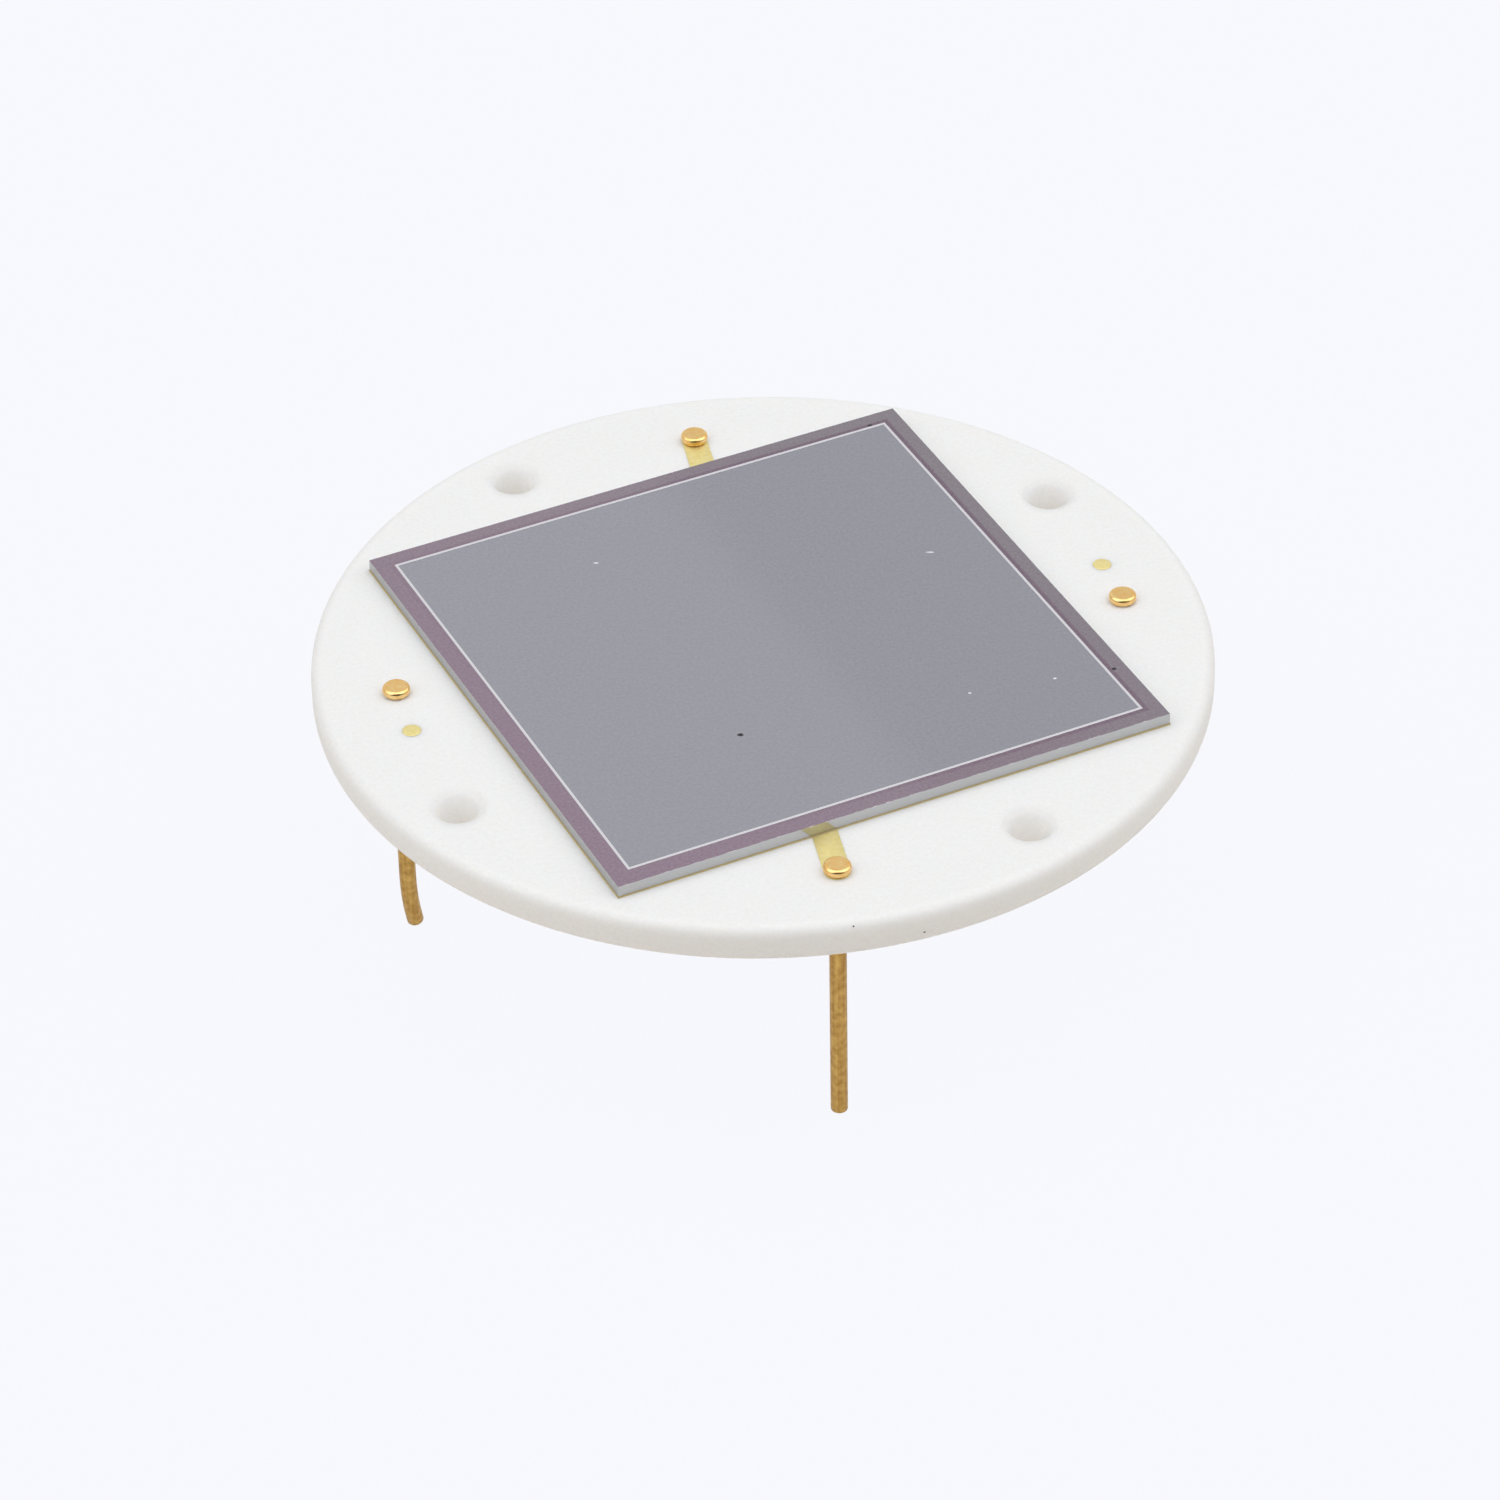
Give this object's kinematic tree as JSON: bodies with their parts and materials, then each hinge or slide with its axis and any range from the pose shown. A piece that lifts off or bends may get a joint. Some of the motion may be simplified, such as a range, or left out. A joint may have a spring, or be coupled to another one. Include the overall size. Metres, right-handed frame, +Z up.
{
  "type": "photodiode",
  "caption": "Large-area photodiode: a bare square silicon chip on a round white ceramic base with headed gold-plated pins below and mounting holes round the rim.",
  "frame": {"origin": "on the axis of the round base, in the plane of the pin tips", "axes": "+Z up through the base to the chip, with the four pins on the X and Y axes and the front pin on -Y"},
  "size_m": [0.0254, 0.0254, 0.0087],
  "materials": {
    "alumina": "matt, as fired",
    "fired_gold": "matt thick-film gold print",
    "adhesive": "cured, satin",
    "silicon": "polished, with a coated window and a mauve oxide border",
    "contact_metal": "bright evaporated film",
    "gold_plate": "gold plated, satin"
  },
  "bodies": {
    "root": {"ceramic_base": "alumina", "cathode_print": "fired_gold", "die_attach": "adhesive", "silicon_chip": "silicon", "contact_ring": "contact_metal", "pin_front": "gold_plate", "pin_right": "gold_plate", "pin_back": "gold_plate", "pin_left": "gold_plate", "feedthrough_left": "fired_gold", "feedthrough_right": "fired_gold"}
  },
  "joints": []
}
